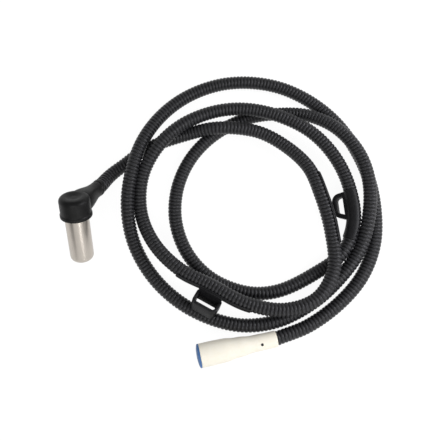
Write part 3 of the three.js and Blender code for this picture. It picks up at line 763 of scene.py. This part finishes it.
def placed_group(tree, shader, group, values):
    """Places a group with its own values and lets it colour and roughen the shader."""
    node = tree.nodes.new("ShaderNodeGroup")
    node.node_tree = group
    for label, value in values.items():
        node.inputs[label].default_value = value
    tree.links.new(node.outputs["Colour"], shader.inputs["Base Color"])
    tree.links.new(node.outputs["Roughness"], shader.inputs["Roughness"])
    return node


def bumped(tree, shader, height, strength, depth):
    """Lets a height raise the surface; depth in millimetres."""
    bump = tree.nodes.new("ShaderNodeBump")
    bump.inputs["Strength"].default_value = strength
    bump.inputs["Distance"].default_value = depth * MM
    tree.links.new(height, bump.inputs["Height"])
    tree.links.new(bump.outputs[0], shader.inputs["Normal"])


def moulded(name, colour, scuffed, gloss, grain=5000.0, strength=0.25, depth=0.02, sheen=0.5):
    """Moulded plastic or rubber."""
    material, tree, shader = new_material(name)
    skin_node = placed_group(tree, shader, MOULD_SKIN, {
        "Colour": (*colour, 1), "Scuffed": (*scuffed, 1), "Gloss": gloss, "Grain": grain,
    })
    shader.inputs["Specular IOR Level"].default_value = sheen
    if strength:
        bumped(tree, shader, skin_node.outputs["Height"], strength, depth)
    return material


def lit_crests_shaded_grooves(material, groove_shade, crest_highlight):
    """Painted shade in the conduit's grooves and a painted highlight on its rib crests, laid into
    the base colour by crest height.
    """
    tree = material.node_tree
    shader = tree.nodes["Principled BSDF"]
    plain = shader.inputs["Base Color"].links[0].from_socket
    mask = tree.nodes.new("ShaderNodeAttribute")
    mask.attribute_name = "crest"
    # Painted shade in the grooves, then a painted highlight on the crest tops
    shaded_groove_colour = blended(tree, mask.outputs["Fac"], (*groove_shade, 1), plain)
    top = ranged(tree, mask.outputs["Fac"], (0.8, 1), (0, 0.8))
    tree.links.new(blended(tree, top, shaded_groove_colour, (*crest_highlight, 1)), shader.inputs["Base Color"])
    return material


def metal(name, colour, dull, gloss, stretch=(900, 900, 900)):
    """Bare metal; stretch gives the grain's scale along X, Y and Z."""
    material, tree, shader = new_material(name)
    grain = placed_group(tree, shader, METAL_GRAIN, {
        "Colour": (*colour, 1), "Dull": (*dull, 1), "Gloss": gloss, "Stretch": stretch,
    })
    shader.inputs["Metallic"].default_value = 1.0
    bumped(tree, shader, grain.outputs["Height"], 0.12, 0.01)
    return material


# Each finish has its colour, its scuffed or dull colour, and its gloss
FINISHES = {
    "steel": metal("drawn_stainless", (0.56, 0.515, 0.46), (0.48, 0.44, 0.395), 0.34,
                   (5200, 5200, 5200)),
    "moulded_black": moulded("head_plastic", (0.007, 0.007, 0.007), (0.017, 0.017, 0.017), 0.42,
                             grain=4200, strength=0.3, depth=0.03, sheen=0.17),
    "conduit_black": lit_crests_shaded_grooves(
        moulded("conduit_plastic", (0.015, 0.015, 0.0165), (0.023, 0.023, 0.026), 0.38,
                strength=0, sheen=0.27),
        # Painted groove shade, then painted crest highlight
        (0.006, 0.006, 0.0065), (0.033, 0.033, 0.036),
    ),
    "clip_plastic": moulded("clip_plastic", (0.009, 0.009, 0.01), (0.02, 0.02, 0.021), 0.42,
                            grain=6000, strength=0.15, depth=0.02, sheen=0.22),
    "rubber": moulded("seal_rubber", (0.02, 0.02, 0.02), (0.04, 0.04, 0.04), 0.7),
    "soft_iron": metal("soft_iron", (0.4, 0.4, 0.41), (0.3, 0.3, 0.31), 0.4),
    "magnet": metal("sintered_magnet", (0.2, 0.2, 0.21), (0.14, 0.14, 0.15), 0.5),
    "bobbin": moulded("bobbin_plastic", (0.7, 0.62, 0.46), (0.6, 0.52, 0.38), 0.5),
    "copper": metal("enamelled_copper", (0.62, 0.2, 0.06), (0.45, 0.13, 0.04), 0.35,
                    (900, 900, 9000)),
    "brass": metal("plated_brass", (0.72, 0.5, 0.18), (0.6, 0.4, 0.14), 0.3),
    "resin": moulded("cast_resin", (0.02, 0.015, 0.012), (0.04, 0.03, 0.025), 0.35),
    "core_brown": moulded("core_brown", (0.1, 0.04, 0.02), (0.14, 0.06, 0.03), 0.5),
    "core_black": moulded("core_black", (0.012, 0.012, 0.013), (0.03, 0.03, 0.03), 0.5),
    "sleeve_cream": moulded("sleeve_cream", (0.88, 0.84, 0.73), (0.84, 0.77, 0.6), 0.55,
                            grain=1500, strength=0.15, depth=0.05),
    "cap_blue": moulded("cap_blue", (0.04, 0.13, 0.33), (0.07, 0.18, 0.4), 0.45),
    "housing_grey": moulded("housing_grey", (0.045, 0.046, 0.05), (0.07, 0.07, 0.075), 0.5),
}


def finish_piece(piece, slot):
    """Gives a piece the one finish of its slot."""
    piece.data.materials.clear()
    piece.data.materials.append(FINISHES[slot])


# Pieces of the model that stay, then the pieces made here in place of the others
for subpart in frame["record"]["subparts"]:
    finish_piece(frame["nodes"][subpart["node"]], subpart["material_slot"])

NEW_PIECES = [
    (conduit, "conduit_black", "cable_conduit"),
    *[(piece, "clip_plastic", clip["name"]) for piece, clip in zip(clip_pieces, CLIPS)],
    (barrel_piece, "steel", "sensor_barrel"),
    (head_piece, "moulded_black", "head_cap"),
    (sleeve_piece, "sleeve_cream", "connector_sleeve"),
    (end_cap_piece, "cap_blue", "connector_end_cap"),
    (stud_piece, "rubber", None),
]
for piece, slot, node in NEW_PIECES:
    finish_piece(piece, slot)
    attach(piece, "root")
    if node:
        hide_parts(node)

# --- Floor, world and lamps ---


def sheet(name, corners, material):
    """A flat stage piece with four corners."""
    mesh = bpy.data.meshes.new(name)
    mesh.from_pydata(corners, [], [(0, 1, 2, 3)])
    mesh.materials.append(material)
    piece = bpy.data.objects.new(name, mesh)
    bpy.context.scene.collection.objects.link(piece)
    return piece


def seen_directly(tree):
    """1 for the camera's, mirrored and see-through rays."""
    path = tree.nodes.new("ShaderNodeLightPath")
    seen = reckon(tree, "MAXIMUM", path.outputs["Is Camera Ray"], path.outputs["Is Glossy Ray"])
    return reckon(tree, "MAXIMUM", seen, path.outputs["Is Transmission Ray"])


def paper_floor():
    """White paper that keeps the object's shadow and glows evenly far away from it."""
    material, tree, shader = new_material("paper_floor")
    shader.inputs["Base Color"].default_value = (0.8, 0.8, 0.8, 1)
    shader.inputs["Roughness"].default_value = 1.0
    shader.inputs["Specular IOR Level"].default_value = 0.0
    glow = tree.nodes.new("ShaderNodeEmission")
    glow.inputs["Strength"].default_value = 1.1
    spot = tree.nodes.new("ShaderNodeTexCoord")
    distance = tree.nodes.new("ShaderNodeVectorMath")
    distance.operation = "LENGTH"
    tree.links.new(spot.outputs["Object"], distance.inputs[0])
    share = ranged(tree, distance.outputs["Value"], (0.4, 1.0), (0.85, 1.0))
    both = tree.nodes.new("ShaderNodeMixShader")
    tree.links.new(reckon(tree, "MULTIPLY", seen_directly(tree), share), both.inputs[0])
    tree.links.new(shader.outputs[0], both.inputs[1])
    tree.links.new(glow.outputs[0], both.inputs[2])
    tree.links.new(both.outputs[0], tree.nodes["Material Output"].inputs["Surface"])
    return material


def studio_world():
    """White walls under a darker ceiling, for the camera and for what is mirrored."""
    world = bpy.data.worlds.new("studio")
    world.use_nodes = True
    tree = world.node_tree
    background = tree.nodes["Background"]
    background.inputs["Color"].default_value = (1, 1, 1, 1)
    sky = tree.nodes.new("ShaderNodeTexCoord")
    height = tree.nodes.new("ShaderNodeSeparateXYZ")
    tree.links.new(sky.outputs["Generated"], height.inputs[0])
    ceiling = ranged(tree, height.outputs["Z"], (0.12, 0.6), (1.0, 0.25))
    strength = tree.nodes.new("ShaderNodeMapRange")
    strength.inputs["To Min"].default_value = 0.55
    tree.links.new(ceiling, strength.inputs["To Max"])
    tree.links.new(seen_directly(tree), strength.inputs["Value"])
    tree.links.new(strength.outputs[0], background.inputs["Strength"])
    return world


def black_card():
    """Card that stands to the left and is mirrored as the dark stripe down the barrel."""
    material, _, shader = new_material("black_card")
    shader.inputs["Base Color"].default_value = (0.03, 0.03, 0.03, 1)
    shader.inputs["Roughness"].default_value = 0.9
    left, right, top = (-0.46, -0.26), (-0.22, -0.46), 0.3
    card = sheet("black_card", [(*left, 0), (*right, 0), (*right, top), (*left, top)], material)
    card.visible_camera = False
    card.visible_shadow = False
    card.visible_diffuse = False
    return card


def lamp(name, place, aim, size, power, colour=(1, 1, 1)):
    """A rectangular lamp at one place, aimed at another."""
    data = bpy.data.lights.new(name, "AREA")
    data.shape = "RECTANGLE"
    data.size, data.size_y = size
    data.energy = power
    data.color = colour
    fixture = bpy.data.objects.new(name, data)
    fixture.location = place
    fixture.rotation_euler = (Vector(aim) - Vector(place)).to_track_quat("-Z", "Y").to_euler()
    bpy.context.scene.collection.objects.link(fixture)


floor = sheet("floor", [(-2, -2, 0), (2, -2, 0), (2, 2, 0), (-2, 2, 0)], paper_floor())
floor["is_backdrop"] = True
card = black_card()
card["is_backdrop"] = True
bpy.context.scene.world = studio_world()
lamp("front_softbox", (0.05, -0.75, 0.75), (0.1, 0, 0), (0.6, 0.4), 3.2)
lamp("front_strip", (0.32, -0.63, 0.16), (0, 0, 0.02), (0.11, 0.25), 0.36)
lamp("right_softbox", (0.45, 0.03, 0.25), (0.15, 0, 0), (0.3, 0.22), 1.15, (0.95, 0.95, 1.0))


# --- View settings ---

bpy.context.scene.view_settings.view_transform = "Standard"
